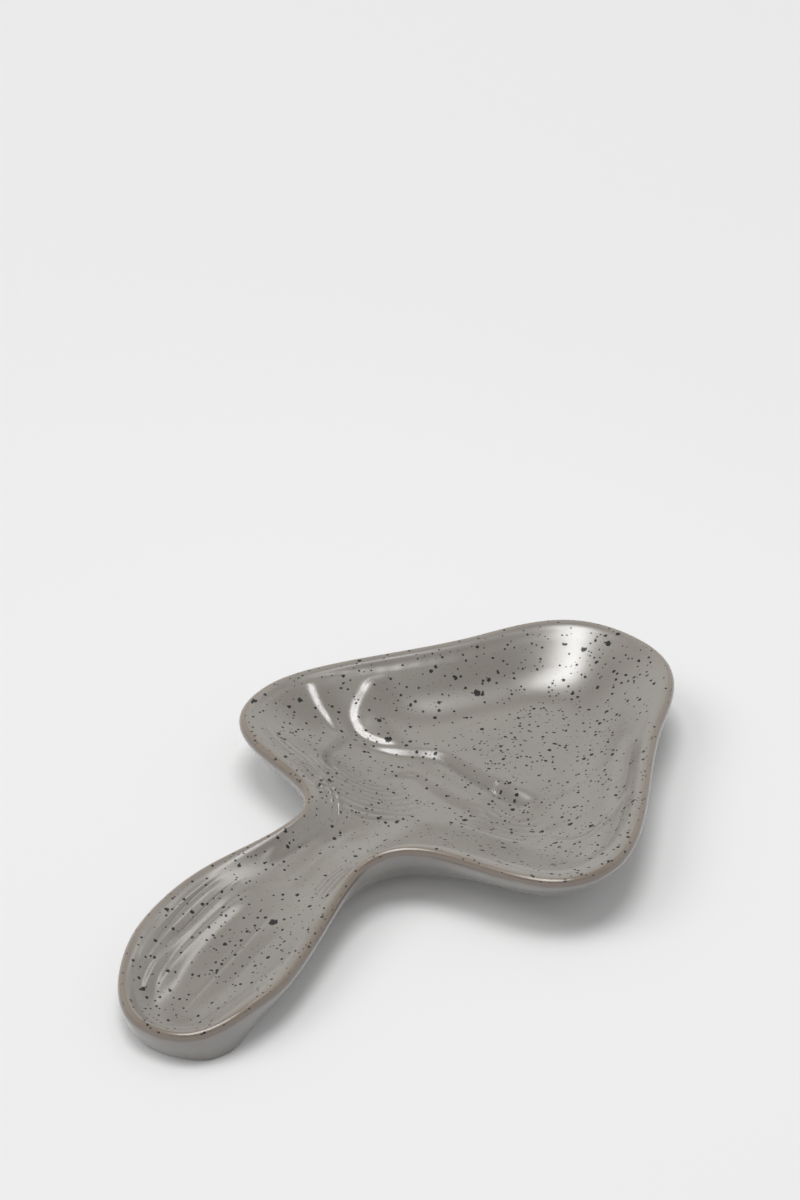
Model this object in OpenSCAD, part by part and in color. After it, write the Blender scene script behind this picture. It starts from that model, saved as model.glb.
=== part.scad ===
// Mushroom spoon rest: one pressed stoneware shell under two coats of glaze.
// The stem end is at -X, the crown of the cap at +X and the table at Z 0. Sizes are in mm.

/* [Plan of the cap] */
// Length from the stem end to the crown
overall_l = 211; // [170:1:260]
// Width across the two lobes of the cap
cap_w = 127; // [100:1:160]
// How broadly the crown is rounded
crown_reach = 21; // [12:1:28]
// Distance from the crown back to where the flank of the cap turns
flank_back = 28.5; // [22:0.5:36]
// Half width of the cap at the flank
flank_y = 33.5; // [26:0.5:40]
// Slope of the flank in plan, degrees
flank_a = 23.5; // [15:0.5:32]
// Pull of the flank toward the crown
flank_fore = 16; // [8:1:22]
// Pull of the flank toward the lobe
flank_aft = 24; // [14:1:32]
// Where the lobes are widest, along X
lobe_x = 15.5; // [5:0.5:26]
// Pull of the lobe toward the flank
lobe_fore = 17.5; // [10:0.5:26]
// Pull of the lobe toward the neck
lobe_aft = 36; // [24:1:44]

/* [Plan of the stem] */
// Where the left side of the neck is narrowest, along X
neck_left_x = -23.5; // [-30:0.5:-18]
// Left half width of the neck
neck_left_y = 17; // [13:0.5:20]
// Pull of the left neck toward the lobe
neck_left_fore = 22.5; // [14:0.5:28]
// Pull of the left neck toward the bulb
neck_left_aft = 12; // [6:1:16]
// Distance from the stem end to where the left side of the bulb is widest
bulb_left_in = 45; // [36:0.5:52]
// Left half width of the bulb
bulb_left_y = 24; // [19:0.5:29]
// Pull of the left bulb toward the neck
bulb_left_fore = 14.5; // [8:0.5:20]
// Pull of the left bulb toward the stem end
bulb_left_aft = 27; // [16:1:32]
// Where the right side of the neck is narrowest, along X
neck_right_x = -27.5; // [-34:0.5:-21]
// Right half width of the neck
neck_right_y = 12.5; // [10:0.5:16]
// Pull of the right neck toward the lobe
neck_right_fore = 28; // [18:1:33]
// Pull of the right neck toward the bulb
neck_right_aft = 10.5; // [6:0.5:15]
// Distance from the stem end to where the right side of the bulb is widest
bulb_right_in = 29; // [24:0.5:36]
// Right half width of the bulb
bulb_right_y = 25; // [20:0.5:30]
// Pull of the right bulb toward the neck
bulb_right_fore = 14; // [8:0.5:20]
// Pull of the right bulb toward the stem end
bulb_right_aft = 20; // [12:1:24]
// How far the stem end sits to the right of the long axis
end_offset = 5; // [0:0.5:9]
// Pull of the stem end toward the left
end_left = 11.5; // [7:0.5:16]
// Pull of the stem end toward the right
end_right = 14.5; // [9:0.5:17]

/* [Rim and dish] */
// Height of the rim round the cap
cap_rim_h = 18.5; // [16:0.5:26]
// Height of the rim along the stem
stem_rim_h = 12; // [10:0.5:15]
// Height of the rim where it dips at the stem end
end_rim_h = 9.4; // [8:0.2:10.6]
// Length of the dip at the stem end
end_dip = 27; // [18:1:34]
// Length of the rise from the stem rim to the cap rim
rim_rise = 85; // [60:1:100]
// Radius of the rolled lip
lip_r = 1.8; // [1.2:0.1:2.2]
// Inset from the outer edge where the lip runs into the inner wall
lip_in = 3.4; // [3:0.1:4.4]
// Height of the saddle floor in the neck
neck_floor = 11; // [10:0.1:11.6]
// Distance from the narrow neck to where the trough floor starts to fall
neck_level = 14; // [8:1:20]
// Length over which the trough floor falls, reaching past the stem end
fall_l = 84; // [76:1:96]
// Fall of the trough floor over that length
floor_fall = 10; // [8:0.2:10.6]
// Height of the floor between the neck and the margin of the cap
gill_floor = 5.6; // [5:0.1:7]
// Height of the dish floor on the crown side of the margin
crown_floor = 7; // [6:0.1:8.4]
// Where the margin step crosses the dish, along X
margin_x = 30; // [22:1:40]
// Height of the flutes along the stem and of the gills
flute_h = 0.35; // [0.1:0.05:0.5]
// Width of the inner wall at the crown
crown_slope = 30; // [26:0.5:33]
// Width of the inner wall on the flanks of the cap
flank_slope = 26; // [23:0.5:30]
// Width of the inner wall in the lobes of the cap
lobe_slope = 38; // [32:0.5:41]
// Width of the inner wall at the neck
neck_slope = 11; // [8:0.5:12]
// Width of the inner wall along the stem
stem_slope = 18; // [14:0.5:20]
// Width of the inner wall at the stem end
end_slope = 11; // [9:0.5:14]
// Share of the inner wall that rounds over from the rim, round the cap
cap_shoulder_share = 0.18; // [0.15:0.01:0.24]
// Share of the inner wall that rounds over from the rim, along the stem
stem_shoulder_share = 0.28; // [0.24:0.01:0.34]
// Share of the rest that rounds into the floor, round the cap
cap_foot_share = 0.62; // [0.3:0.01:1]
// Share of the rest that rounds into the floor, along the stem
stem_foot_share = 0.9; // [0.4:0.05:1]

/* [Underside and glaze] */
// Inset of the foot line at the stem end
end_foot_in = 3.8; // [2:0.2:5]
// Inset of the foot line at the sides of the stem end
side_foot_in = 1; // [0.6:0.1:2]
// Share of the half width taken by the rounded side along the stem
stem_round = 0.46; // [0.4:0.02:0.6]
// Share of the half width taken by the rounded side round the cap
cap_round = 0.72; // [0.6:0.01:0.76]
// Fullness of the rounded side, 2 being an ellipse
side_full = 1.6; // [1.4:0.1:2.2]
// Lift of the underside below the neck
arch_h = 3; // [1:0.2:3.6]
// Thickness of the glaze coats
glaze_t = 0.5; // [0.3:0.05:0.8]
// Distance over which a glaze coat thins out toward its edge
glaze_thin = 5; // [3:0.5:8]

/* [Hidden] */
half_l = overall_l / 2;
half_w = cap_w / 2;
flank_x = half_l - flank_back;
bulb_left_x = bulb_left_in - half_l;
bulb_right_x = bulb_right_in - half_l;
// Number of stations on each curve from the crown to the stem end
steps = [12, 10, 16, 8, 10];
half_n = 56;
full_n = 2 * half_n;
// Places on the middle line that the section paths run to, from the crown to the stem end
spine = [
    [half_l - 27.5, 0],
    [flank_x - 21, 0],
    [lobe_x + 6.5, 0],
    [(neck_left_x + neck_right_x) / 2, (neck_left_y - neck_right_y) / 3],
    [(bulb_left_x + bulb_right_x) / 2 + 6.5, 0],
    [21.5 - half_l, 1 - end_offset]
];

function ease(t) = let (c = min(1, max(0, t))) c * c * (3 - 2 * c);
function mix(a, b, t) = a + (b - a) * ease(t);
function unit(v) = v / norm(v);

// Plan outline: five smooth curves for each side, worked out on the left and mirrored for the right
flank = [flank_x, flank_y];
flank_dir = [-cos(flank_a), sin(flank_a)];
lobe = [lobe_x, half_w];

function side(neck, neck_fore, neck_aft, bulb, bulb_fore, bulb_aft, end, end_pull) = [
    [[half_l, 0], [half_l, crown_reach], flank - flank_dir * flank_fore, flank],
    [flank, flank + flank_dir * flank_aft, lobe + [lobe_fore, 0], lobe],
    [lobe, lobe - [lobe_aft, 0], neck + [neck_fore, 0], neck],
    [neck, neck - [neck_aft, 0], bulb + [bulb_fore, 0], bulb],
    [bulb, bulb - [bulb_aft, 0], end + [0, end_pull], end]
];
left_side = side(
    [neck_left_x, neck_left_y], neck_left_fore, neck_left_aft,
    [bulb_left_x, bulb_left_y], bulb_left_fore, bulb_left_aft,
    [-half_l, -end_offset], end_left
);
right_side = side(
    [neck_right_x, neck_right_y], neck_right_fore, neck_right_aft,
    [bulb_right_x, bulb_right_y], bulb_right_fore, bulb_right_aft,
    [-half_l, end_offset], end_right
);

function curve(s, t) =
    pow(1 - t, 3) * s[0] + 3 * pow(1 - t, 2) * t * s[1] + 3 * (1 - t) * t * t * s[2] + pow(t, 3) * s[3];
function run(s, t) =
    pow(1 - t, 2) * (s[1] - s[0]) + 2 * (1 - t) * t * (s[2] - s[1]) + t * t * (s[3] - s[2]);

// Middle line: a smooth curve through the places given above
function spine_run(k) = (spine[min(5, k + 1)] - spine[max(0, k - 1)]) / (k == 0 || k == 5 ? 1 : 2);
function spine_at(k, t) =
    (2 * t * t * t - 3 * t * t + 1) * spine[k] + (t * t * t - 2 * t * t + t) * spine_run(k)
    + (3 * t * t - 2 * t * t * t) * spine[k + 1] + (t * t * t - t * t) * spine_run(k + 1);

// One station: edge point, inward direction and the place on the middle line it runs to
function station(s, k, t, m) =
    let (p = curve(s[k], t), d = unit(run(s[k], t)))
    [[p.x, m * p.y], [-d.y, m * d.x], spine_at(k, t)];
half_keys = concat(
    [for (k = [0 : 4]) for (i = [0 : steps[k] - 1]) [k, i / steps[k]]],
    [[4, 1]]
);
stations = concat(
    [for (i = [0 : half_n]) station(left_side, half_keys[i][0], half_keys[i][1], 1)],
    [for (i = [half_n - 1 : -1 : 1]) station(right_side, half_keys[i][0], half_keys[i][1], -1)]
);
edge = [for (s = stations) s[0]];
edge_len = [for (i = [0 : full_n - 1]) norm(edge[(i + 1) % full_n] - edge[(i + full_n - 1) % full_n]) / 2];

// Smoothed distance to the edge: sixth-power mean over the outline, equal to the distance by a straight edge
function field(p) = pow(edge_len * [for (q = edge) pow(norm(p - q), -6)] / 1.1781, -0.2);

// Plan point at distance d along the section path of station s
function path_len(s) = lip_in + norm(s[2] - s[0] - s[1] * lip_in);
function along(s, d) =
    let (
        a = s[0] + s[1] * lip_in,
        l = path_len(s) - lip_in,
        b = a + s[1] * min(0.45 * l, 16),
        t = min(1, (d - lip_in) / l)
    )
    d < lip_in ? s[0] + s[1] * d : pow(1 - t, 2) * a + 2 * t * (1 - t) * b + t * t * s[2];

// Heights along the long axis
function rim_z(x) =
    mix(end_rim_h, stem_rim_h, (x + half_l) / end_dip)
    + mix(0, cap_rim_h - stem_rim_h, (x - lobe_x + rim_rise + 10) / rim_rise);
function floor_z(x) =
    neck_floor - mix(0, floor_fall, (neck_right_x - neck_level - x) / fall_l)
    + mix(0, gill_floor - neck_floor, (x - neck_right_x) / 36)
    + mix(0, crown_floor - gill_floor, (x - margin_x + 5) / 10);
function slope_w(x) =
    mix(end_slope, stem_slope, (x + half_l - 4) / 18)
    + mix(0, neck_slope - stem_slope, (x - bulb_left_x) / 36)
    + mix(0, lobe_slope - neck_slope, (x - neck_left_x) / 30)
    + mix(0, flank_slope - lobe_slope, (x - lobe_x) / 32)
    + mix(0, crown_slope - flank_slope, (x - flank_x + 6) / 18);

// Upper face: the rim height less a drop that rounds over, runs straight and rounds into the floor
function drop(d, x) =
    let (
        w = slope_w(x),
        t = (x - neck_left_x) / 30,
        s = w * mix(stem_shoulder_share, cap_shoulder_share, t),
        c = (w - s) * mix(stem_foot_share, cap_foot_share, t),
        steep = 1 / (w - c / 2 - (s + lip_r) / 2)
    )
    d < s ? steep * pow(d - lip_r, 2) / (2 * (s - lip_r))
    : d < w - c ? steep * (d - (s + lip_r) / 2)
    : 1 - steep * pow(max(0, w - d), 2) / (2 * c);
function top_z(p, d) =
    let (r = rim_z(p.x), f = floor_z(p.x))
    r - (r - f) * drop(d, p.x);
function top_coat(d) = glaze_t * ease((d - lip_r) / glaze_thin);
function flute(x) = flute_h * ease((x + half_l - 14) / 26) * (1 - ease((x - margin_x + 6) / 10));

// Rings of the upper face from the crest of the rim inward, lowered by the coat where cut is 1
top_lip = [lip_r, (lip_r + lip_in) / 2, lip_in];
top_n = 9;
function top_point(s, j, cut) =
    let (
        lip = j < 3,
        l = path_len(s),
        p = lip ? along(s, top_lip[j]) : along(s, lip_in + (l - lip_in) * (j - 2) / (top_n + 1)),
        d = lip ? top_lip[j] : field(p)
    )
    [p.x, p.y, top_z(p, d) - cut * top_coat(d) + (lip ? 0 : (j % 2 == 0 ? 1 : -1) * flute(p.x))];
function top_ring(j, cut) = [for (s = stations) top_point(s, j, cut)];
function top_mid(cut) = [
    for (i = [0 : half_n]) let (p = stations[i][2], d = field(p))
    [p.x, p.y, top_z(p, d) - cut * top_coat(d) + flute(p.x)]
];

// Underside: foot line, lift below the neck and the rounded side between the lip and the foot line
function foot_in(s) =
    let (
        x = s[0].x,
        b = mix(end_foot_in, side_foot_in, (x + half_l) / 10),
        q = mix(0, stem_round, (x + half_l - 13) / 30)
            + mix(0, cap_round - stem_round, (s[2].x - neck_right_x) / 40)
    )
    b + q * (path_len(s) - b);
function lift(s) = arch_h * ease((s[2].x + half_l - 30) / 44) * (1 - ease((s[2].x - neck_right_x) / 40));
function lip_point(s, a, cut) =
    let (
        c = cut * glaze_t * ease((a - 135) / 90),
        d = lip_r + (lip_r - c) * cos(a),
        p = along(s, d)
    )
    [p.x, p.y, rim_z(p.x) - lip_r + (lip_r - c) * sin(a)];
function side_point(s, a, cut) =
    let (
        f = foot_in(s),
        c = cut * glaze_t * min(ease((a + 45) / 90), ease((90 - a) / 30)),
        d = f * (1 - pow(cos(a), 2 / side_full)),
        q = along(s, 0),
        h = lift(s),
        z = h + (rim_z(q.x) - lip_r - h) * (1 - pow(sin(a), 2 / side_full)),
        p = along(s, d + c * cos(a))
    )
    [p.x, p.y, z + c * sin(a)];
function foot_point(s, t) =
    let (f = foot_in(s), p = along(s, f + (path_len(s) - f) * t))
    [p.x, p.y, lift(s)];
band_ring = [for (s = stations) lip_point(s, 112, 0)];
function wall_rings(cut) = concat(
    [for (a = [135, 158]) [for (s = stations) lip_point(s, a, cut)]],
    [for (a = [0, 14, 28, 42, 56, 73]) [for (s = stations) side_point(s, a, cut)]],
    [[for (s = stations) side_point(s, 90, 0)]]
);
foot_rings = [for (t = [0.34, 0.67]) [for (s = stations) foot_point(s, t)]];
foot_mid = [for (i = [0 : half_n]) foot_point(stations[i], 1)];

// Faces between rings, and between a ring and the middle line; turn flips their outer side
function flat(rings) = [for (r = rings) each r];
function tri(a, b, c, turn) = turn ? [a, c, b] : [a, b, c];
function strip(u, v, turn) = [
    for (i = [0 : full_n - 1]) let (j = (i + 1) % full_n)
    each [tri(u + i, u + j, v + j, turn), tri(u + i, v + j, v + i, turn)]
];
function mid_no(i) = i <= half_n ? i : full_n - i;
function close(u, v, turn) = [
    for (i = [0 : full_n - 1])
    let (j = (i + 1) % full_n, a = v + mid_no(i), b = v + mid_no(j), early = i % half_n < half_n / 2)
    each early
        ? [tri(u + i, u + j, a, turn), tri(u + j, b, a, turn)]
        : [tri(u + i, u + j, b, turn), tri(u + i, b, a, turn)]
];
function strips(first, count, turn) =
    [for (k = [0 : count - 1]) each strip(first + k * full_n, first + (k + 1) * full_n, turn)];

// The pressed shell: dish, trough, rolled rim, rounded side and flat foot
module clay_body() {
    upper = [for (j = [0 : top_n + 2]) top_ring(j, 1)];
    lower = concat([band_ring], wall_rings(1), foot_rings);
    n = len(upper);
    m = len(lower);
    mid = (n + m) * full_n;
    points = concat(flat(upper), flat(lower), top_mid(1), foot_mid);
    faces = concat(
        strips(0, n - 1, true),
        close((n - 1) * full_n, mid, true),
        strip(0, n * full_n, false),
        strips(n * full_n, m - 1, false),
        close((n + m - 1) * full_n, mid + half_n + 1, false)
    );
    color("#6b513f")
    polyhedron(points = points, faces = faces, convexity = 6);
}

// The speckled coat on the upper face, thinning to nothing at the crest of the rim
module top_glaze() {
    outer = [for (j = [0 : top_n + 2]) top_ring(j, 0)];
    inner = [for (j = [1 : top_n + 2]) top_ring(j, 1)];
    n = len(outer);
    m = len(inner);
    mid = (n + m) * full_n;
    points = concat(flat(outer), flat(inner), top_mid(0), top_mid(1));
    faces = concat(
        strips(0, n - 1, true),
        close((n - 1) * full_n, mid, true),
        strip(0, n * full_n, false),
        strips(n * full_n, m - 1, false),
        close((n + m - 1) * full_n, mid + half_n + 1, false)
    );
    color("#8f8a82")
    polyhedron(points = points, faces = faces, convexity = 6);
}

// The plain coat on the outer wall, from below the crest of the rim to the foot line
module underside_glaze() {
    outer = wall_rings(0);
    inner = wall_rings(1);
    n = len(outer);
    m = n - 2;
    points = concat(flat(outer), flat([for (k = [1 : n - 2]) inner[k]]));
    faces = concat(
        strips(0, n - 1, false),
        strip(0, n * full_n, true),
        strips(n * full_n, m - 1, true),
        strip((n + m - 1) * full_n, (n - 1) * full_n, true)
    );
    color("#8d9299")
    polyhedron(points = points, faces = faces, convexity = 6);
}

clay_body();
top_glaze();
underside_glaze();
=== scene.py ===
"""Mushroom spoon rest: a pressed stoneware shell under a speckled coat and a plain coat of glaze.

The outer skin is one surface on a grid of stations round the rim and rings from the rim inward. It is cut
into three closed pieces that meet on the lip and on the foot line. Lengths are in millimetres until a mesh
is made, and the plan and heights repeat the values of the part's source.
"""

import bpy
import numpy as np
from mathutils import Matrix, Vector


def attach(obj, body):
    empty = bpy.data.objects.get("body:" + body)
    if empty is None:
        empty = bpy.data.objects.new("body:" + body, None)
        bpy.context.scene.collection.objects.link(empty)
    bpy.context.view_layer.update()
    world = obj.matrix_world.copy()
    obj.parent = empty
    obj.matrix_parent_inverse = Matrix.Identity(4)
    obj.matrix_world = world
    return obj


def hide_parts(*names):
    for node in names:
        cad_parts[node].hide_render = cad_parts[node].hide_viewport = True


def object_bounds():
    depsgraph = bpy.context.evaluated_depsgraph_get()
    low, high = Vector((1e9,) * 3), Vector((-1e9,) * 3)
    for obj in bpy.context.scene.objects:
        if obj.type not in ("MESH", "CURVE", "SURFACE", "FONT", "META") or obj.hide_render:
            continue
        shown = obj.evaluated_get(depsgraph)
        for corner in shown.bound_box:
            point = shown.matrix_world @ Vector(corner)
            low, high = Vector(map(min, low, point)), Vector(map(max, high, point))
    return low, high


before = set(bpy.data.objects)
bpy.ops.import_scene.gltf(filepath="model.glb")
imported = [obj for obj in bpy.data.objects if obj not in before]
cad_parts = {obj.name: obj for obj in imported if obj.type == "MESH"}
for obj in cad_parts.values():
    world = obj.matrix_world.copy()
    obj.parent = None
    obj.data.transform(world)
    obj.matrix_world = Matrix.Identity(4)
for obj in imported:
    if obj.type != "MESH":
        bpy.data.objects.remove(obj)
cad_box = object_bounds()
MM = 0.001

# Plan of the cap, with the length and the width from the frame
HALF_L = cad_box[1][0] / MM
HALF_W = cad_box[1][1] / MM
CROWN = np.array([HALF_L, 0.0])
CROWN_REACH = 21
FLANK = np.array([HALF_L - 28.5, 33.5])
FLANK_TURN = np.radians(23.5)
FLANK_FORE = 16
FLANK_AFT = 24
LOBE = np.array([15.5, HALF_W])
LOBE_FORE = 17.5
LOBE_AFT = 36

# Plan of the stem, each side worked out at positive Y
LEFT_STEM = dict(
    neck=(-23.5, 17), neck_fore=22.5, neck_aft=12,
    bulb=(45 - HALF_L, 24), bulb_fore=14.5, bulb_aft=27,
    end=(-HALF_L, -5), end_pull=11.5,
)
RIGHT_STEM = dict(
    neck=(-27.5, 12.5), neck_fore=28, neck_aft=10.5,
    bulb=(29 - HALF_L, 25), bulb_fore=14, bulb_aft=20,
    end=(-HALF_L, 5), end_pull=14.5,
)
NECK_LEFT_X = LEFT_STEM["neck"][0]
NECK_RIGHT_X = RIGHT_STEM["neck"][0]
BULB_LEFT_X = LEFT_STEM["bulb"][0]
# How far in lies the point that bends a line toward the middle, as a share of its length and at most
BEND_SHARE = 0.45
BEND_MOST = 16

# Places on the middle line, from the crown to the stem end
SPINE = np.array([
    (HALF_L - 27.5, 0), (FLANK[0] - 21, 0), (LOBE[0] + 6.5, 0), (-25.5, 1.5), (-62, 0), (21.5 - HALF_L, -4),
])

# Heights of rim and floor, and widths of the inner wall
CAP_RIM_H = 18.5
STEM_RIM_H = 12
END_RIM_H = 9.4
END_DIP = 27
RIM_RISE = 85
RISE_END = 10
LIP_R = 1.8
LIP_IN = 3.4
NECK_FLOOR = 11
FLOOR_FALL = 10
FALL_L = 84
NECK_LEVEL = 14
GILL_FLOOR = 5.6
GILL_FALL_L = 36
CROWN_FLOOR = 7
MARGIN_X = 30
MARGIN_HALF = 5
CROWN_SLOPE = 30
FLANK_SLOPE = 26
LOBE_SLOPE = 38
NECK_SLOPE = 11
STEM_SLOPE = 18
END_SLOPE = 11
# Lengths over which one width runs into the next, and where the first and the last change begin
END_SLOPE_FROM = 4
END_SLOPE_L = 18
NECK_SLOPE_L = 36
LOBE_SLOPE_L = 30
FLANK_SLOPE_L = 32
CROWN_SLOPE_LEAD = 6
CROWN_SLOPE_L = 18
# Shares of the inner wall that round over from the rim, and of the rest that round into the floor
STEM_SHOULDER_SHARE = 0.28
CAP_SHOULDER_SHARE = 0.18
CAP_FOOT_SHARE = 0.62
STEM_FOOT_SHARE = 0.9

# Underside and glaze
END_FOOT_IN = 3.8
END_FOOT_L = 10
SIDE_FOOT_IN = 1
STEM_ROUND = 0.46
STEM_ROUND_FROM = 13
STEM_ROUND_L = 30
CAP_ROUND = 0.72
SIDE_FULL = 1.6
ARCH_H = 3
ARCH_FROM = 30
ARCH_L = 44
CAP_FOOT_L = 40
GLAZE_T = 0.5
GLAZE_THIN = 5
# How far off the relief is compared with, to find the hollows of the relief that get a painted shade
HOLLOW_SHADE_REACH = 1.5
# Angles on the lip: its crest, the lower end of the band where the clay shows through, and its upright side
CREST = 90
BAND_END = 135
UPRIGHT = 180
# Angles over which the coat of the wall grows full below the band and thins out above the foot
COAT_TURN = 90
FOOT_TURN = 30
# Angle of the one ring on the lip under that coat
UNDER_LIP_ANGLE = 158

# Stations on each of the five curves of a side, and rings of the upper face
STEPS = np.array([56, 56, 92, 60, 72])
HALF_N = int(STEPS.sum())
FULL_N = 2 * HALF_N
LIP_RINGS = 8
DISH_RINGS = 104
UNDER_COAT_RINGS = 24
# Rings of the band on the lip, of the lip below it, of the side, of the clay under its coat and of the foot
BAND_RINGS = 9
LOW_LIP_RINGS = 9
SIDE_RINGS = 44
UNDER_SIDE_RINGS = 14
FOOT_RINGS = 12


def ease(t):
    """Smooth step: 3t^2 - 2t^3 between 0 and 1, level outside."""
    c = np.clip(t, 0, 1)
    return c * c * (3 - 2 * c)


def mix(a, b, t):
    """From a to b along the smooth step."""
    return a + (b - a) * ease(t)


def side_curves(neck, neck_fore, neck_aft, bulb, bulb_fore, bulb_aft, end, end_pull):
    """Five cubic curves from the crown over flank, lobe, neck and bulb to the stem end, four points each."""
    x, y = np.eye(2)
    neck, bulb, end = (np.array(p, float) for p in (neck, bulb, end))
    turn = np.array([-np.cos(FLANK_TURN), np.sin(FLANK_TURN)])
    return np.array([
        (CROWN, CROWN + CROWN_REACH * y, FLANK - FLANK_FORE * turn, FLANK),
        (FLANK, FLANK + FLANK_AFT * turn, LOBE + LOBE_FORE * x, LOBE),
        (LOBE, LOBE - LOBE_AFT * x, neck + neck_fore * x, neck),
        (neck, neck - neck_aft * x, bulb + bulb_fore * x, bulb),
        (bulb, bulb - bulb_aft * x, end + end_pull * y, end),
    ])


def cubic_through(places, k, t):
    """Points a share t past place k on a cubic through the places.

    Its direction at each place is half the step from the one before to the one after, and at the first and
    last place the one step beside it.
    """
    pull = np.gradient(places, axis=0)
    return (
        (2 * t**3 - 3 * t * t + 1) * places[k] + (t**3 - 2 * t * t + t) * pull[k]
        + (3 * t * t - 2 * t**3) * places[k + 1] + (t**3 - t * t) * pull[k + 1]
    )


def half_stations(curves, mirror):
    """Edge points and inward directions on the curves, and the points of the middle line they reach."""
    k = np.append(np.repeat(np.arange(len(STEPS)), STEPS), len(STEPS) - 1)
    t = np.append(np.concatenate([np.arange(n) / n for n in STEPS]), 1.0)[:, None]
    u = 1 - t
    a, b, c, d = np.moveaxis(curves[k], 1, 0)
    edge = u**3 * a + 3 * u * u * t * b + 3 * u * t * t * c + t**3 * d
    run = u * u * (b - a) + 2 * u * t * (c - b) + t * t * (d - c)
    run /= np.linalg.norm(run, axis=1, keepdims=True)
    flip = np.array([1, mirror])
    inward = np.stack([-run[:, 1], run[:, 0]], axis=1)
    return edge * flip, inward * flip, cubic_through(SPINE, k, t)


left = half_stations(side_curves(**LEFT_STEM), 1)
right = half_stations(side_curves(**RIGHT_STEM), -1)
EDGE, INWARD, MIDDLE = (np.concatenate([l, r[-2:0:-1]]) for l, r in zip(left, right))
PATH = LIP_IN + np.linalg.norm(MIDDLE - EDGE - INWARD * LIP_IN, axis=1)


def along(d):
    """Plan points at distance d in from the edge: straight over the lip, then a quadratic to the middle."""
    a = EDGE + INWARD * LIP_IN
    run = PATH - LIP_IN
    b = a + INWARD * np.minimum(BEND_SHARE * run, BEND_MOST)[:, None]
    t = np.clip((d - LIP_IN) / run, 0, 1)[..., None]
    inner = (1 - t)**2 * a + 2 * t * (1 - t) * b + t * t * MIDDLE
    return np.where(d[..., None] < LIP_IN, EDGE + INWARD * d[..., None], inner)


# Three eighths of pi, by which the sixth-power mean gives the plain distance beside a long straight edge
STRAIGHT_EDGE = 1.1781
# Step between the stations that the mean is taken over
FIELD_STEP = 4
# Way inside the lip over which the depth changes from the distance along a line to the smoothed one
FIELD_BLEND = 5


def edge_field(plan):
    """Smoothed distance to the edge: the fifth root of a sixth-power mean over the outline."""
    q = EDGE[::FIELD_STEP]
    size = np.linalg.norm(np.roll(q, -1, 0) - np.roll(q, 1, 0), axis=1) / 2
    square = (plan[..., :1] - q[:, 0])**2
    square += (plan[..., 1:] - q[:, 1])**2
    return ((square**-3 @ size) / STRAIGHT_EDGE)**-0.2


def rim_z(x):
    """Height of the rim: a dip at the stem end, level along the stem, a rise to the cap."""
    dip = mix(END_RIM_H, STEM_RIM_H, (x + HALF_L) / END_DIP)
    return dip + mix(0, CAP_RIM_H - STEM_RIM_H, (x - LOBE[0] + RIM_RISE + RISE_END) / RIM_RISE)


def floor_z(x):
    """Height of the floor: from the stem end up to the neck, down to the gills, up past the margin."""
    stem = NECK_FLOOR - mix(0, FLOOR_FALL, (NECK_RIGHT_X - NECK_LEVEL - x) / FALL_L)
    gills = mix(0, GILL_FLOOR - NECK_FLOOR, (x - NECK_RIGHT_X) / GILL_FALL_L)
    crown = mix(0, CROWN_FLOOR - GILL_FLOOR, (x - MARGIN_X + MARGIN_HALF) / (2 * MARGIN_HALF))
    return stem + gills + crown


def slope_w(x):
    """Width of the inner wall: narrow at the neck, wide in the lobes, less so on flanks and crown."""
    stem = mix(END_SLOPE, STEM_SLOPE, (x + HALF_L - END_SLOPE_FROM) / END_SLOPE_L)
    neck = mix(0, NECK_SLOPE - STEM_SLOPE, (x - BULB_LEFT_X) / NECK_SLOPE_L)
    lobe = mix(0, LOBE_SLOPE - NECK_SLOPE, (x - NECK_LEFT_X) / LOBE_SLOPE_L)
    flank = mix(0, FLANK_SLOPE - LOBE_SLOPE, (x - LOBE[0]) / FLANK_SLOPE_L)
    crown = mix(0, CROWN_SLOPE - FLANK_SLOPE, (x - FLANK[0] + CROWN_SLOPE_LEAD) / CROWN_SLOPE_L)
    return stem + neck + lobe + flank + crown


def drop(d, x):
    """Share of the way from rim to floor: a parabola for the shoulder, a straight wall, a parabola again."""
    w = slope_w(x)
    cap = (x - NECK_LEFT_X) / LOBE_SLOPE_L
    shoulder = w * mix(STEM_SHOULDER_SHARE, CAP_SHOULDER_SHARE, cap)
    curve = (w - shoulder) * mix(STEM_FOOT_SHARE, CAP_FOOT_SHARE, cap)
    steep = 1 / (w - curve / 2 - (shoulder + LIP_R) / 2)
    top = steep * (d - LIP_R)**2 / (2 * (shoulder - LIP_R))
    wall = steep * (d - (shoulder + LIP_R) / 2)
    foot = 1 - steep * np.maximum(0, w - d)**2 / (2 * curve)
    return np.where(d < shoulder, top, np.where(d < w - curve, wall, foot))


def top_coat(d):
    """Thickness of the upper coat, nothing at the crest of the rim and full a little way in."""
    return GLAZE_T * ease((d - LIP_R) / GLAZE_THIN)


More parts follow.
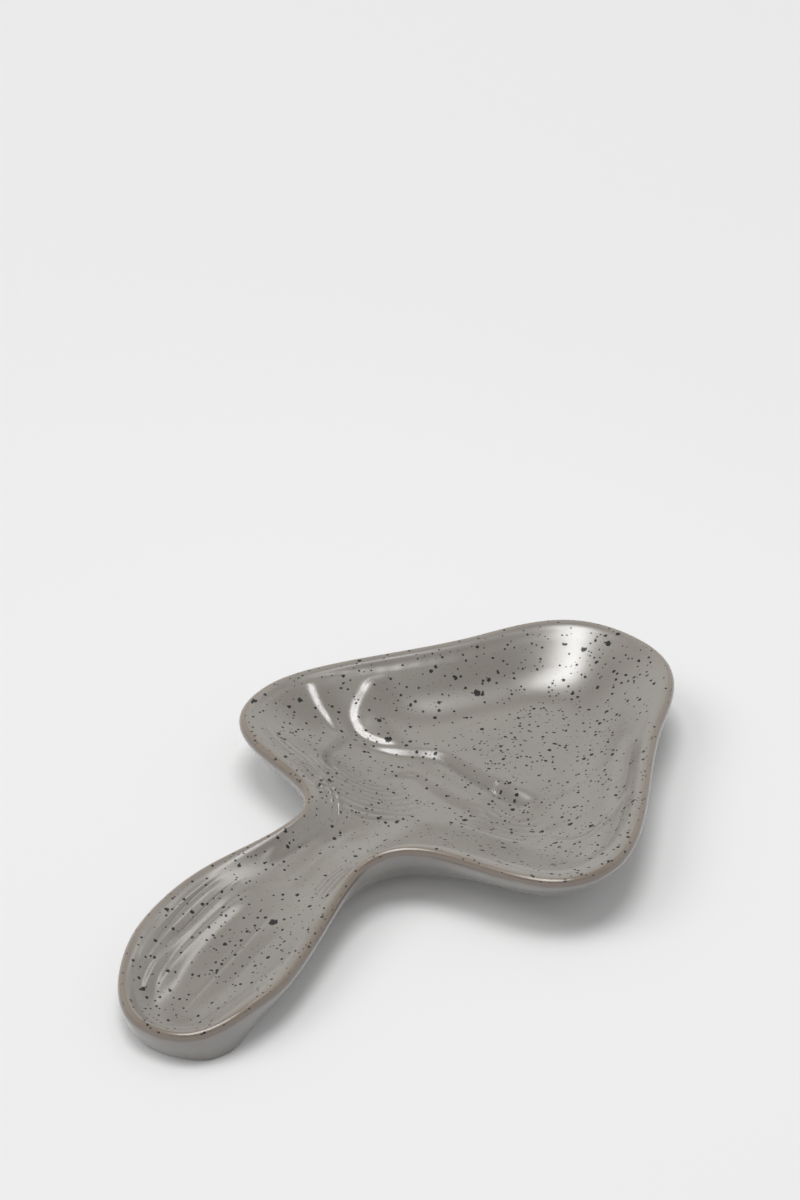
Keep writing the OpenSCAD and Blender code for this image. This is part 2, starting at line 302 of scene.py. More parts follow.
# Relief of the upper face, drawn along lines through the places given
# A ledge stands higher on the left side of its line. It has heights and half widths for its start and end,
# and the reach over which it comes down again.
LEDGES = [
    # Margin of the cap, from the left rim down the wall
    ((0.66, 0.66), (0.9, 0.9), 10, [
        (47, 42.2), (43, 43.8), (39.4, 44.8), (35.5, 43.9), (32.1, 42.9), (29.1, 41.4), (27.3, 39.4),
        (26.3, 36.8), (26.1, 34.5), (26.8, 31.8), (27.8, 29), (29.5, 26), (31.5, 23)]),
    # Fold below it, across the dish toward the right wall
    ((0.7, 1.35), (1.1, 3.4), 9, [
        (19.5, 37), (21.1, 34.4), (22.7, 31.7), (25, 28.4), (27.9, 23.2), (30.8, 18), (33.6, 12.8), (34, 8),
        (33.4, 2.5), (33, -4), (33, -10), (33.2, -15), (33.8, -20), (34.6, -25), (36, -29)]),
    # Fold beside the margin on the left wall
    ((0.55, 0.55), (1.0, 1.0), 7, [
        (26.5, 57), (25.1, 54.3), (23.7, 51.3), (22.6, 48.7), (21.8, 45.3), (20.5, 41.1), (20, 37.5)]),
    # Edge of the gills at the foot of the left lobe
    ((0.9, 1.2), (1.1, 1.1), 6, [
        (1, 24), (2.1, 26.8), (5.5, 31.3), (10.4, 35), (15.9, 36.5), (20.2, 37.4), (24, 37.5)]),
    # Collar between the gills and the margin
    ((0.5, 1.0), (1.4, 2.4), 9, [
        (12, 20.5), (16.2, 18.6), (20.5, 16.2), (23, 13.4), (22.8, 9.8), (21.9, 5), (21.4, -1), (21.5, -8),
        (22.8, -13), (25.5, -17)]),
    # Notch beside the leaf-shaped fold
    ((0.6, 0.6), (2.2, 2.2), 7, [(29, -17.5), (27.8, -20.8), (26.9, -25.4), (25.4, -30), (24.2, -33.5)]),
]
# A rib has a height, below 0 for a groove, and the widths of its left and right side
RIBS = [
    # Leaf-shaped fold by the right wall, the crease below the rim there and a short line from the fold's tip
    (0.5, 0.9, 0.9, [
        (24, -33), (22.6, -38), (22.8, -43), (26.7, -46.3), (32.7, -46.7), (39.5, -45.3), (45.6, -43.3),
        (50, -40.5)]),
    (-1.5, 2.0, 2.4, [
        (69, -26), (65.1, -30.5), (57, -35.9), (51, -39.5), (45.3, -43), (39, -47.2), (30.8, -51.4),
        (23.3, -54), (17.2, -54.6), (11.5, -53)]),
    (0.25, 0.7, 0.7, [(25, -32), (20, -34.8), (15.6, -37)]),
    # Groove at the foot of the fold across the dish, the fold's faint end, two faint lines on the crown side
    (-0.5, 1.6, 2.2, [
        (29.4, 17), (31.6, 12.4), (31.9, 8), (31.3, 2.5), (30.9, -4), (30.9, -10), (31.1, -15), (31.7, -20),
        (32.5, -24)]),
    (0.2, 0.8, 0.8, [(37.2, -22.9), (41.7, -23.9), (49.4, -25.9), (55.2, -28.4), (60, -30)]),
    (0.14, 0.7, 0.7, [(39, 3), (44, 1.6), (50, 0)]),
    (0.18, 0.6, 0.6, [(40, 5.4), (45, 4.2), (51, 3)]),
    # Soft ridges through the neck
    (0.35, 1.4, 1.4, [(-40.6, 13.2), (-31.5, 12.8), (-22.6, 12.1), (-13.9, 12.5)]),
    (0.4, 1.5, 1.5, [(-44, 7.2), (-30.4, 7.8), (-19.4, 8.7), (-11.8, 8.9)]),
    (0.35, 1.5, 1.5, [(-44, 1), (-36.9, 2.1), (-25.4, 4.4), (-15.9, 5.1), (-6.9, 3.6)]),
    # Flutes along the left side of the stem and the grooves between them
    (0.32, 2.2, 1.0, [
        (-50, 17.4), (-55.4, 18.2), (-60, 18.3), (-65.6, 18), (-75.4, 16.1), (-84, 13.1), (-89.8, 9.7),
        (-94.8, 5.2)]),
    (-0.25, 0.6, 0.6, [(-50, 17), (-57, 17.4), (-65, 17), (-75.6, 15), (-84, 12.2), (-89, 9.4)]),
    (0.3, 1.6, 0.9, [(-50, 15.4), (-57, 15.6), (-65, 15.2), (-75.6, 13.4), (-84, 10.8), (-89, 8)]),
    (-0.2, 0.5, 0.5, [(-47, 13.2), (-54, 13.4), (-62, 13), (-72, 11.8), (-80, 10)]),
    (0.6, 2.6, 1.1, [
        (-48.3, 12.4), (-56.5, 12), (-67.1, 11), (-76, 10.2), (-85.3, 8.2), (-94.3, 4), (-97, 1)]),
    (0.65, 2.4, 1.2, [
        (-48, 8), (-54.8, 8.2), (-65.2, 7.8), (-73.3, 7.1), (-80.9, 5.8), (-88.3, 3.4), (-93, 0.6)]),
    # Grooves along its right side
    (-0.25, 0.6, 2.4, [(-50, -2), (-56.9, -2.6), (-68.3, -4.1), (-81.4, -5.2), (-92.1, -6.6)]),
    (-0.3, 0.6, 2.4, [(-50, -8.6), (-56.1, -9.2), (-63.4, -9), (-73.4, -10.1), (-87.5, -11.1), (-93, -11)]),
    (-0.45, 0.9, 2.0, [
        (-54, -16), (-62, -17), (-71, -16.4), (-82.8, -15.4), (-92.4, -12.3), (-97, -6), (-97.5, 0)]),
]
# Gills are ridges on circles: height, spacing, centre, two radii, direction and spread in degrees
ARCS = [
    (0.52, 2.6, (16, 24), (7, 29), 214, 66),
    (0.62, 2.4, (42, -15.5), (15, 31), 193, 34),
]
# Ridges that follow the rim, right of the neck and in the left lobe: height, spacing, least and greatest
# depth, where along X they come up and where they go, each with the way it takes, and their side
RIM_LINES = [
    (0.3, 1.9, (4, 11), (-46, 12), (-6, 12), -1),
    (0.42, 2.1, (3.6, 13), (-16, 10), (8, 14), 1),
]
# Way in from the crest over which the relief comes up, ways over which ridges come up and go, ARC_SIDE being
# in degrees, and how far they stray
RELIEF_IN = 2
ARC_IN = 3
ARC_OUT = 5
ARC_SIDE = 25
ARC_WOBBLE = 0.7
RIM_LINE_IN = 1.5
RIM_LINE_OUT = 3
RIM_LINE_WOBBLE = 0.3


def line_through(places, per=14):
    """Points of a cubic through the places, and the directions it runs in."""
    places = np.array(places, float)
    s = np.linspace(0, len(places) - 1, per * (len(places) - 1) + 1)
    k = np.minimum(s.astype(int), len(places) - 2)
    line = cubic_through(places, k, (s - k)[:, None])
    run = np.gradient(line, axis=0)
    return line, run / np.linalg.norm(run, axis=1, keepdims=True)


def from_line(plan, places):
    """Distance to the left of the line through the places, and the share of its length passed there."""
    line, run = line_through(places)
    square = (plan[:, :1] - line[:, 0])**2
    square += (plan[:, 1:] - line[:, 1])**2
    near = square.argmin(axis=1)
    step = plan - line[near]
    off = run[near, 0] * step[:, 1] - run[near, 1] * step[:, 0]
    ahead = (run[near] * step).sum(axis=1)
    length = np.append(0, np.cumsum(np.linalg.norm(np.diff(line, axis=0), axis=1)))
    return off, np.clip((length[near] + ahead) / length[-1], 0, 1)


def fade(share, tail=0.22):
    """Comes up from nothing at both ends of a line."""
    return ease(share / tail) * ease((1 - share) / tail)


def ledge(plan, heights, widths, reach, places):
    """A smooth step up across the line that comes back down as a bell curve over its reach."""
    off, share = from_line(plan, places)
    height = mix(*heights, share)
    rise = ease(0.5 + off / (2 * mix(*widths, share)))
    return height * rise * np.exp(-(np.maximum(off, 0) / reach)**2) * fade(share)


def rib(plan, height, left, right, places):
    """A bell curve across the line, raised or, with a height below 0, sunk."""
    off, share = from_line(plan, places)
    return height * np.exp(-(off / np.where(off > 0, left, right))**2) * fade(share)


def wobble(plan, length):
    """A slow wave over the plan, from -1 to 1, that keeps drawn lines from being even."""
    x, y = plan[:, 0] / length, plan[:, 1] / length
    return (np.sin(x * 6.1 + 1.7 * np.sin(y * 4.3)) + np.sin(y * 5.3 + 1.3 * np.sin(x * 3.7 + 2))) / 2


def arcs(plan, height, spacing, centre, radii, turn, spread):
    """Fine ridges on circles round a centre, between two radii and within a spread of a direction."""
    step = plan - np.array(centre, float)
    r = np.hypot(step[:, 0], step[:, 1])
    turned = np.degrees(np.arctan2(step[:, 1], step[:, 0])) - turn
    turned = np.abs((turned + 180) % 360 - 180)
    wave = 0.5 + 0.5 * np.cos(2 * np.pi * (r + ARC_WOBBLE * wobble(plan, 30)) / spacing)
    window = ease((r - radii[0]) / ARC_IN) * ease((radii[1] - r) / ARC_OUT)
    window = window * ease((spread - turned) / ARC_SIDE)
    return height * wave**2 * window * (0.75 + 0.25 * wobble(plan, 17))


def rim_lines(plan, depth, height, spacing, span, start, end, side):
    """Fine ridges that keep their distance to the rim, between two depths from it and two places along x."""
    x, y = plan.T
    window = ease((x - start[0]) / start[1]) * ease((end[0] - x) / end[1]) * (side * y > 0)
    wave = 0.5 + 0.5 * np.cos(2 * np.pi * (depth + RIM_LINE_WOBBLE * wobble(plan, 40)) / spacing)
    ridges = height * wave**2 * ease((depth - span[0]) / RIM_LINE_IN)
    return ridges * ease((span[1] - depth) / RIM_LINE_OUT) * window


def relief(plan, depth):
    """Sum of all drawn lines of the upper face at plan points with their depth in from the rim."""
    height = sum(ledge(plan, *row) for row in LEDGES) + sum(rib(plan, *row) for row in RIBS)
    for row in ARCS:
        height += arcs(plan, *row)
    for row in RIM_LINES:
        height += rim_lines(plan, depth, *row)
    return height * ease((depth - LIP_R) / RELIEF_IN)


def upper_face(dish_rings, lip_rings):
    """Rings of the upper face from the crest inward: rim height less the drop, plus the relief."""
    lip = np.repeat(np.linspace(LIP_R, LIP_IN, lip_rings + 1)[:-1, None], FULL_N, axis=1)
    share = np.linspace(0, 1, dish_rings + 1)[:, None]
    d = np.concatenate([lip, LIP_IN + (PATH - LIP_IN) * share])
    plan = along(d)
    inner = ease((d - LIP_IN) / FIELD_BLEND)
    depth = np.where(inner > 0, d * (1 - inner) + edge_field(plan) * inner, d)
    x = plan[..., 0]
    z = rim_z(x) - (rim_z(x) - floor_z(x)) * drop(depth, x)
    z += relief(plan.reshape(-1, 2), depth.ravel()).reshape(z.shape)
    return np.concatenate([plan, z[..., None]], axis=-1), depth


def hollow_shade_depth(rings, depth):
    """How far the relief lies below its mean a little way off on four sides, above 0 in hollows given
    painted shade.
    """
    plan = rings[..., :2].reshape(-1, 2)
    deep = depth.ravel()
    round_about = HOLLOW_SHADE_REACH * np.array([(1, 0), (-1, 0), (0, 1), (0, -1)])
    mean = sum(relief(plan + step, deep) for step in round_about) / len(round_about)
    return (mean - relief(plan, deep)).reshape(depth.shape)


def foot_in():
    """Inset of the foot line: a little at the stem end, a share of the half width along stem and cap."""
    x = EDGE[:, 0]
    base = mix(END_FOOT_IN, SIDE_FOOT_IN, (x + HALF_L) / END_FOOT_L)
    part = mix(0, STEM_ROUND, (x + HALF_L - STEM_ROUND_FROM) / STEM_ROUND_L)
    part = part + mix(0, CAP_ROUND - STEM_ROUND, (MIDDLE[:, 0] - NECK_RIGHT_X) / CAP_FOOT_L)
    return base + part * (PATH - base)


def lift():
    """Lift of the underside off the table below the neck."""
    x = MIDDLE[:, 0]
    return ARCH_H * ease((x + HALF_L - ARCH_FROM) / ARCH_L) * (1 - ease((x - NECK_RIGHT_X) / CAP_FOOT_L))


def lip_rings(angles, cut):
    """Quarter round of the lip from its crest to upright, less the coat where cut is 1."""
    a = np.asarray(angles, float)[:, None]
    c = cut * GLAZE_T * ease((a - BAND_END) / COAT_TURN)
    turn = np.radians(a)
    d = np.broadcast_to(LIP_R + (LIP_R - c) * np.cos(turn), (len(a), FULL_N))
    plan = along(d)
    z = rim_z(plan[..., 0]) - LIP_R + (LIP_R - c) * np.sin(turn)
    return np.concatenate([plan, z[..., None]], axis=-1)


def side_rings(angles, cut):
    """Rounded side from the lip at 0 degrees to the foot line at 90, a superellipse, less the coat."""
    a = np.asarray(angles, float)[:, None]
    grown = ease((a + (UPRIGHT - BAND_END)) / COAT_TURN)
    c = cut * GLAZE_T * np.minimum(grown, ease((90 - a) / FOOT_TURN))
    sine, cosine = np.sin(np.radians(a)), np.maximum(0, np.cos(np.radians(a)))
    d = foot_in() * (1 - cosine**(2 / SIDE_FULL))
    z = lift() + (rim_z(EDGE[:, 0]) - LIP_R - lift()) * (1 - sine**(2 / SIDE_FULL))
    plan = along(d + c * cosine)
    return np.concatenate([plan, (z + c * sine)[..., None]], axis=-1)


def foot_rings(count):
    """Flat foot from just inside the foot line to the middle line."""
    share = np.linspace(0, 1, count + 1)[1:, None]
    plan = along(foot_in() + (PATH - foot_in()) * share)
    return np.concatenate([plan, np.broadcast_to(lift(), plan.shape[:2])[..., None]], axis=-1)


def closed_skin(name, rings, marks, seams, loop=False):
    """A closed mesh of quads on rings that follow one another round the section of a piece.

    The first and last ring lie on the middle line, where both halves share their vertices, or, for a loop,
    the last ring runs into the first. Rings named as seams are sharp, so each sheet is shaded by its own
    faces. Marks are values at the points, by name, that the finishes read.
    """
    count = len(rings)
    number = np.arange(count * FULL_N).reshape(count, FULL_N)
    if loop:
        number = np.concatenate([number, number[:1]])
    else:
        i = np.arange(FULL_N)
        number[[0, -1]] = number[[0, -1], :1] + np.minimum(i, FULL_N - i)
    after = np.roll(number, -1, axis=1)
    quads = np.stack([number[:-1], number[1:], after[1:], after[:-1]], axis=-1).reshape(-1, 4)
    used = np.zeros(count * FULL_N, bool)
    used[quads] = True
    renumber = np.cumsum(used) - 1
    mesh = bpy.data.meshes.new(name)
    mesh.from_pydata(rings.reshape(-1, 3)[used] * MM, [], renumber[quads])
    mesh.polygons.foreach_set("use_smooth", np.ones(len(quads), bool))
    for mark, values in marks.items():
        mesh.attributes.new(mark, "FLOAT", "POINT").data.foreach_set("value", values.ravel()[used])
    ring_of = np.repeat(np.where(np.isin(np.arange(count), seams), np.arange(count), -1), FULL_N)[used]
    ends = np.empty(2 * len(mesh.edges), np.int32)
    mesh.edges.foreach_get("vertices", ends)
    a, b = ring_of[ends.reshape(-1, 2)].T
    sharp = mesh.attributes.new("sharp_edge", "BOOLEAN", "EDGE")
    sharp.data.foreach_set("value", (a >= 0) & (a == b))
    return mesh


def make_piece(mesh, node, material):
    """Puts a mesh in the scene in place of a node of the frame."""
    piece = bpy.data.objects.new(mesh.name, mesh)
    bpy.context.scene.collection.objects.link(piece)
    mesh.materials.append(material)
    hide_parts(node)
    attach(piece, "root")


def lowered(rings, depth):
    """The upper face less the thickness of its coat."""
    under = rings.copy()
    under[..., 2] -= top_coat(depth)
    return under


def whole(value, rings):
    """The same value at every point of some rings, or one value for each ring."""
    return np.broadcast_to(np.reshape(value, (-1, 1)), rings.shape[:2])


# Finishes
def shade(red, green, blue):
    """A colour as seen, 0 to 255, turned into the linear light that a material works in."""
    seen = np.array([red, green, blue]) / 255
    linear = np.where(seen <= 0.04045, seen / 12.92, ((seen + 0.055) / 1.055)**2.4)
    return (*linear.tolist(), 1.0)


class Level:
    """A value in a finish; arithmetic on it adds Math nodes."""

    def __init__(self, recipe, socket):
        self.recipe = recipe
        self.socket = socket

    def math(self, operation, *values):
        return self.recipe.add("Math", {"operation": operation}, *values)

    def __add__(self, other):
        return self.math("ADD", self, other)

    def __sub__(self, other):
        return self.math("SUBTRACT", self, other)

    def __rsub__(self, other):
        return self.math("SUBTRACT", other, self)

    def __mul__(self, other):
        return self.math("MULTIPLY", self, other)

    def __lt__(self, other):
        return self.math("LESS_THAN", self, other)

    __radd__ = __add__
    __rmul__ = __mul__

    def most(self, other):
        """The larger of two values."""
        return self.math("MAXIMUM", self, other)

    def between(self, low, high):
        """Smooth step from 0 at low to 1 at high."""
        return self.recipe.add("MapRange", {"interpolation_type": "SMOOTHSTEP"}, self, low, high)


class Recipe:
    """The node tree of one finish, or of the light all round."""

    def __init__(self, owner):
        self.owner = owner
        owner.use_nodes = True
        self.tree = owner.node_tree
        self.tree.nodes.clear()
        coords = self.add("TexCoord", out="Object")
        self.place = self.add("VectorMath", {"operation": "SCALE"}, coords, Scale=1 / MM)

    def add(self, kind, settings=None, *ordered, out=0, **named):
        """One output of a new node; settings first, then sockets in order or by name with _ for a space."""
        node = self.tree.nodes.new("ShaderNode" + kind)
        for key, value in (settings or {}).items():
            setattr(node, key, value)
        inputs = [s for s in node.inputs if s.enabled]
        by_name = {s.name: s for s in reversed(inputs)}
        pairs = list(zip(inputs, ordered)) + [(by_name[k.replace("_", " ")], v) for k, v in named.items()]
        for socket, value in pairs:
            if isinstance(value, Level):
                self.tree.links.new(value.socket, socket)
            else:
                socket.default_value = value
        outputs = [s for s in node.outputs if s.enabled]
        chosen = outputs[out] if isinstance(out, int) else node.outputs[out]
        return Level(self, chosen)

    def blend(self, share, a, b):
        """From colour a to colour b."""
        return self.add("Mix", {"data_type": "RGBA"}, share, a, b)

    def noise(self, size, detail=2.0, rough=0.5, shift=0.0):
        """Soft noise with lumps of a size in millimetres, about 0.5 on average."""
        place = self.add("VectorMath", {"operation": "ADD"}, self.place, (shift, shift, shift))
        return self.add("TexNoise", None, Vector=place, Scale=1 / size, Detail=detail, Roughness=rough)

    def mark(self, name):
        """A value kept at the points of the mesh.

        across is in millimetres from the crest of the rim, inward above 0 and down the outer side below 0,
        and hollow_shade is the depth of the hollows of the relief in millimetres, which sets their painted
        shade.
        """
        return self.add("Attribute", {"attribute_name": name}, out="Fac")

    def surface(self, colour, roughness, bump, **fixed):
        """The glazed or bare surface itself, with a fine unevenness in its normal."""
        normal = self.add("Bump", None, Strength=1.0, Distance=MM, Height=bump)
        shader = self.add(
            "BsdfPrincipled", None, Base_Color=colour, Roughness=roughness, Normal=normal, **fixed)
        return self.close("Material", shader)

    def looked_at(self):
        """1 for what the camera sees, also mirrored or through glass, 0 for light that falls on things."""
        camera, glossy, clear = (
            self.add("LightPath", out=f"Is {kind} Ray") for kind in ("Camera", "Glossy", "Transmission"))
        return camera.most(glossy).most(clear)

    def close(self, kind, shader):
        """Joins the shader to the output of the finish."""
        output = self.tree.nodes.new(f"ShaderNodeOutput{kind}")
        self.tree.links.new(shader.socket, output.inputs["Surface"])
        return self.owner


# Size of the lumps on a speck's edge and of the patches in which specks crowd, in millimetres
RAGGED_SIZE = 0.6
RAGGED_SHARE = 1.1
CROWD_SIZE = 24
CROWD_SPAN = (0.36, 0.62)
CROWD_LEAST = 0.25
SPECK_EDGE = (-0.02, 0.05)
# Dust, fine, middle and coarse specks: spacing of the cells, least and greatest radius, share of the cells
# that hold one, least darkness, and a shift that sets each kind apart
SPECK_KINDS = [
    (0.7, 0.1, 0.22, 0.6, 0.4, 57.9),
    (1.4, 0.24, 0.46, 0.68, 0.95, 3.1),
    (2.3, 0.4, 0.66, 0.62, 1.0, 17.3),
    (6.5, 0.75, 1.15, 0.45, 1.0, 41.7),
]
WALL_SPECKS = (6.5, 0.2, 0.7, 0.4, 0.6, 23.9)
DUST_DARK = 0.7


def specks(recipe, spacing, small, large, share, dark, shift):
    """Iron specks: in some of the cells one disc with a ragged edge, its size and darkness drawn by cell."""
    ragged = recipe.noise(RAGGED_SIZE, shift=shift)
    place = recipe.add("VectorMath", {"operation": "ADD"}, recipe.place, (shift, 2 * shift, 0))
    near = recipe.add("TexVoronoi", {"feature": "F1"}, Vector=place, Scale=1 / spacing, Randomness=1.0)
    drawn = Level(recipe, near.socket.node.outputs["Color"])
    red, green, blue = (
        recipe.add("SeparateColor", None, drawn, out=part) for part in ("Red", "Green", "Blue"))
    radius = small + (large - small) * red * red
    patches = recipe.noise(CROWD_SIZE, shift=shift + 5).between(*CROWD_SPAN)
    crowd = patches * (1 - CROWD_LEAST) + CROWD_LEAST
    disc = (radius - near * spacing - (ragged - 0.5) * radius * RAGGED_SHARE).between(*SPECK_EDGE)
    return disc * (green < share * crowd) * (dark + (1 - dark) * blue)


def speckle(recipe):
    """All sizes of specks together, from dust to spots."""
    dust, fine, middle, coarse = (specks(recipe, *kind) for kind in SPECK_KINDS)
    return (dust * DUST_DARK).most(fine).most(middle).most(coarse)


WARM_GREY = shade(132, 126, 117)
DEEP_GREY = shade(122, 116, 107)
HOLLOW_SHADE_GREY = shade(88, 82, 74)
# Painted shade: the dark grey given to the hollows of the relief
RIM_TAN = shade(119, 99, 78)
RIM_BROWN = shade(92, 74, 62)
WALL_GREY = shade(131, 127, 122)
WALL_DEEP = shade(123, 119, 115)
IRON = shade(12, 10, 9)
CLAY = shade(112, 88, 70)
CLAY_PALE = shade(138, 112, 92)

# Places across the rim, in millimetres from its crest, between which the tan and the brown come up and the
# glaze of the wall closes again, and how much of each colour shows
TAN_SPAN = (1.4, -0.5)
BROWN_SPAN = (-0.8, -1.6)
CLOSED_SPAN = (-2.9, -2.2)
TAN_SHARE = 0.42
BROWN_SHARE = 0.55
RIM_UNEVEN = 0.8
# Depth of the hollows between which the painted shade of the hollows comes up, and how much of it shows
HOLLOW_SHADE_SPAN = (0.015, 0.22)
HOLLOW_SHADE_SHARE = 0.4
# Height of the broad waves of the fired surface
BROAD_WAVE = 0.06


def rim_break(recipe, colour):
    """The coat running thin over the crest, so that the clay below warms its colour to a brown line."""
    uneven = recipe.noise(5, shift=9) - 0.5
    place = recipe.mark("across") + uneven * RIM_UNEVEN
    below = place.between(*CLOSED_SPAN)
    warm = place.between(*TAN_SPAN) * TAN_SHARE
    line = place.between(*BROWN_SPAN) * BROWN_SHARE
    return recipe.blend(line * below, recipe.blend(warm * below, colour, RIM_TAN), RIM_BROWN)


def waves(recipe, fine, height, broad):
    """Unevenness of the fired surface: fine waves of a size and height, and broad ones of a size."""
    return recipe.noise(fine, shift=7) * height + recipe.noise(broad, shift=3) * BROAD_WAVE


def speckled_glaze():
    """Warm grey satin glaze with iron specks, thin and tan at the crest of the rim."""
    r = Recipe(bpy.data.materials.new("speckled_glaze"))
    cloud = r.noise(26, detail=3.0).between(0.3, 0.7)
    grain = r.noise(0.9, detail=3.0, shift=31)
    grey = r.blend(cloud, WARM_GREY, DEEP_GREY)
    grey = r.blend(grain.between(0.42, 0.75) * 0.28, grey, DEEP_GREY)
    # Painted shade: the glaze is darkened in the hollows of the relief
    grey = r.blend(r.mark("hollow_shade").between(*HOLLOW_SHADE_SPAN) * HOLLOW_SHADE_SHARE, grey, HOLLOW_SHADE_GREY)
    spots = speckle(r)
    colour = r.blend(spots, rim_break(r, grey), IRON)
    roughness = 0.36 + 0.08 * r.noise(2.2, shift=12) + 0.4 * spots
    return r.surface(
        colour, roughness, waves(r, 0.8, 0.012, 7),
        IOR=1.6, Coat_Weight=1 - 0.85 * spots, Coat_Roughness=0.29, Coat_IOR=1.85)


def plain_glaze():
    """Smooth grey glaze with few specks on the outer wall."""
    r = Recipe(bpy.data.materials.new("plain_glaze"))
    cloud = r.noise(18, detail=3.0).between(0.3, 0.7)
    grey = r.blend(cloud, WALL_GREY, WALL_DEEP)
    few = specks(r, *WALL_SPECKS)
    colour = r.blend(few * 0.85, rim_break(r, grey), IRON)
    roughness = 0.28 + 0.08 * r.noise(3, shift=12)
    return r.surface(
        colour, roughness, waves(r, 1.0, 0.006, 9),
        IOR=1.52, Coat_Weight=1.0, Coat_Roughness=0.15, Coat_IOR=1.8)


def bare_clay():
    """Fired clay: under a breath of glaze along the rim, dry and sandy on the foot."""
    r = Recipe(bpy.data.materials.new("bare_clay"))
    lip = r.mark("across").between(-6, -4)
    sand = r.noise(0.5, detail=4.0, shift=2)
    earth = r.blend(sand.between(0.35, 0.7), CLAY, CLAY_PALE)
    earth = r.blend(r.noise(14, shift=21).between(0.3, 0.7) * 0.5, earth, CLAY)
    rim = r.blend(speckle(r), rim_break(r, WARM_GREY), IRON)
    roughness = 0.78 - 0.42 * lip
    bump = sand * 0.06 * (1 - lip) + waves(r, 0.8, 0.012, 7)
    return r.surface(
        r.blend(lip, earth, rim), roughness, bump, IOR=1.52, Coat_Weight=lip, Coat_Roughness=0.17)


# The three pieces
# Millimetres of lip to a degree, and the mark of all faces well away from the rim
LIP_ARC = LIP_R * np.pi / 180
FAR_DOWN = -9.0
upper, depth = upper_face(DISH_RINGS, LIP_RINGS)
inner, inner_depth = upper_face(UNDER_COAT_RINGS, 1)
inner = lowered(inner, inner_depth)
band_angles = np.linspace(CREST, BAND_END, BAND_RINGS)
band = lip_rings(band_angles, 0)
low_lip_angles = np.linspace(BAND_END, UPRIGHT, LOW_LIP_RINGS)
side_angles = np.linspace(0, 90, SIDE_RINGS)[1:]
wall = np.concatenate([lip_rings(low_lip_angles, 0), side_rings(side_angles, 0)])
wall_down = -LIP_ARC * (BAND_END - CREST) - np.append(
    0, np.cumsum(np.linalg.norm(np.diff(wall, axis=0), axis=2).mean(axis=1)))
under_angles = np.linspace(0, 90, UNDER_SIDE_RINGS)[:-1]
under = np.concatenate([lip_rings([UNDER_LIP_ANGLE], 1), side_rings(under_angles, 1)])
foot = foot_rings(FOOT_RINGS)

top_coat_mesh = closed_skin(
    "top_coat",
    np.concatenate([upper[::-1], inner[1:]]),
    dict(
        across=np.concatenate([depth[::-1], inner_depth[1:]]) - LIP_R,
        # Depth of the hollows, which the speckled glaze turns into painted shade
        hollow_shade=np.concatenate([hollow_shade_depth(upper, depth)[::-1], whole(0.0, inner[1:])]),
    ),
    seams=[len(upper) - 1],
)
wall_coat_mesh = closed_skin(
    "wall_coat",
    np.concatenate([wall, under[::-1]]),
    dict(across=np.concatenate([whole(wall_down, wall), whole(FAR_DOWN, under)])),
    seams=[0, len(wall) - 1],
    loop=True,
)
shell_rings = np.concatenate([inner[:0:-1], band, under, wall[-1:], foot])
shell_across = np.concatenate([
    inner_depth[:0:-1] - LIP_R, whole(-LIP_ARC * (band_angles - CREST), band),
    whole(FAR_DOWN, under), whole(FAR_DOWN, wall[-1:]), whole(FAR_DOWN, foot),
])
crest_row = len(inner) - 1
shell_mesh = closed_skin(
    "clay_shell", shell_rings, dict(across=shell_across),
    seams=[crest_row, crest_row + len(band) - 1, crest_row + len(band) + len(under)],
)
make_piece(top_coat_mesh, "top_glaze", speckled_glaze())
make_piece(wall_coat_mesh, "underside_glaze", plain_glaze())
make_piece(shell_mesh, "clay_body", bare_clay())


# Stage: pale floor, lamps, the light all round and the camera
FLOOR_HALF = 6.0
FLOOR_TONES = [(0.83, 0.83, 0.83, 1), (0.84, 0.84, 0.84, 1)]
# Share of the floor that the camera sees at its full tone, whatever light falls on it
FLOOR_PALE = 0.08
LAMP_DISTANCE = 10.0
# Direction of the halo, how near to it the halo starts and is full, and how far up the dark overhead ends
# and the backdrop is full
HALO_TOWARD = (0.2, -0.12, 0.972)
HALO_SPAN = (0.88, 0.98)
BACKDROP_SPAN = (0.86, 0.64)


def floor():
    """A pale matt floor at table height."""
    r = Recipe(bpy.data.materials.new("pale_floor"))
    fleck = r.noise(900)
    tone = r.blend(fleck, *FLOOR_TONES)
    matt = r.add("BsdfDiffuse", None, Color=tone)
    pale = r.add("Emission", None, Color=tone, Strength=1.0)
    r.close("Material", r.add("MixShader", None, r.looked_at() * FLOOR_PALE, matt, pale))
    side = np.array([(-1, -1), (1, -1), (1, 1), (-1, 1)]) * FLOOR_HALF
    mesh = bpy.data.meshes.new("floor")
    mesh.from_pydata(np.column_stack([side, np.zeros(4)]), [], [(0, 1, 2, 3)])
    mesh.materials.append(r.owner)
    piece = bpy.data.objects.new("floor", mesh)
    bpy.context.scene.collection.objects.link(piece)


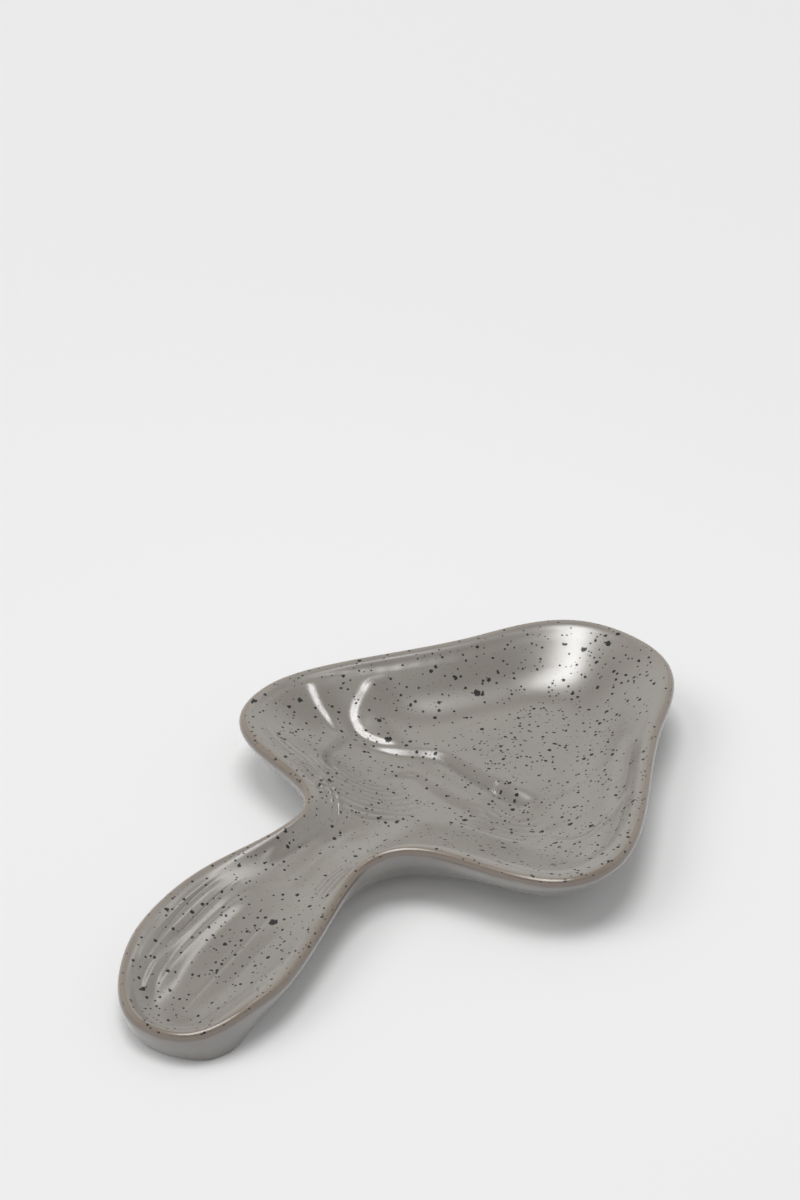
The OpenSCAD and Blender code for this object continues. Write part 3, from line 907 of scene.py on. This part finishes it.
def softbox(name, toward, size, power, mirrored, aim=(0, 0, 0), distance=LAMP_DISTANCE):
    """A round lamp in a direction from a place, facing it; mirrored says whether the glaze shows it."""
    lamp = bpy.data.lights.new(name, "AREA")
    lamp.shape = "DISK"
    lamp.size = size
    lamp.energy = power
    holder = bpy.data.objects.new(name, lamp)
    bpy.context.scene.collection.objects.link(holder)
    holder.visible_camera = False
    holder.visible_glossy = mirrored
    toward = Vector(toward).normalized()
    turn = toward.to_track_quat("Z", "Y").to_matrix().to_4x4()
    holder.matrix_world = Matrix.Translation(Vector(aim) + toward * distance) @ turn


def surround(level, backdrop, overhead, halo):
    """Even light from all round; the glaze and the camera see a white backdrop that darkens overhead.

    Right above it lightens again to a soft halo round the softbox.
    """
    world = bpy.data.worlds.new("studio")
    bpy.context.scene.world = world
    r = Recipe(world)
    around = r.add("TexCoord", out="Generated")
    up = r.add("SeparateXYZ", None, around, out="Z")
    even = r.add("Background", None, Strength=level)
    near = r.add("VectorMath", {"operation": "DOT_PRODUCT"}, around, HALO_TOWARD, out="Value")
    glow = near.between(*HALO_SPAN)
    strength = overhead + (backdrop - overhead) * up.between(*BACKDROP_SPAN) + halo * glow
    seen = r.add("Background", None, Strength=strength)
    r.close("World", r.add("MixShader", None, r.looked_at(), even, seen))


CAMERA_PLACE = Vector((-496.9, -427.6, 507.5)) * MM
CAMERA_AHEAD = Vector((0.6364, 0.5462, -0.5446))
LENS = 90
SENSOR = 36


def camera():
    """A long lens at the photograph's view; the sensor's length lies along the tall side of the picture."""
    lens = bpy.data.cameras.new("camera")
    lens.sensor_fit = "VERTICAL"
    lens.sensor_height = SENSOR
    lens.lens = LENS
    holder = bpy.data.objects.new("camera", lens)
    bpy.context.scene.collection.objects.link(holder)
    turn = CAMERA_AHEAD.to_track_quat("-Z", "Y").to_matrix().to_4x4()
    holder.matrix_world = Matrix.Translation(CAMERA_PLACE) @ turn
    bpy.context.scene.camera = holder


floor()
softbox("softbox", (0.0, 0.06, 1.0), size=4.8, power=410, mirrored=True)
softbox(
    "stem_lamp", (0.43, 0.1, 0.9), size=0.074, power=0.062, mirrored=True,
    aim=(-0.07, 0.012, 0.01), distance=0.33)
softbox("left_softbox", (-0.42, 0.46, 0.78), size=6.0, power=250, mirrored=False)
surround(level=0.515, backdrop=1.0, overhead=0.05, halo=0.12)
camera()
bpy.context.scene.view_settings.view_transform = "Standard"
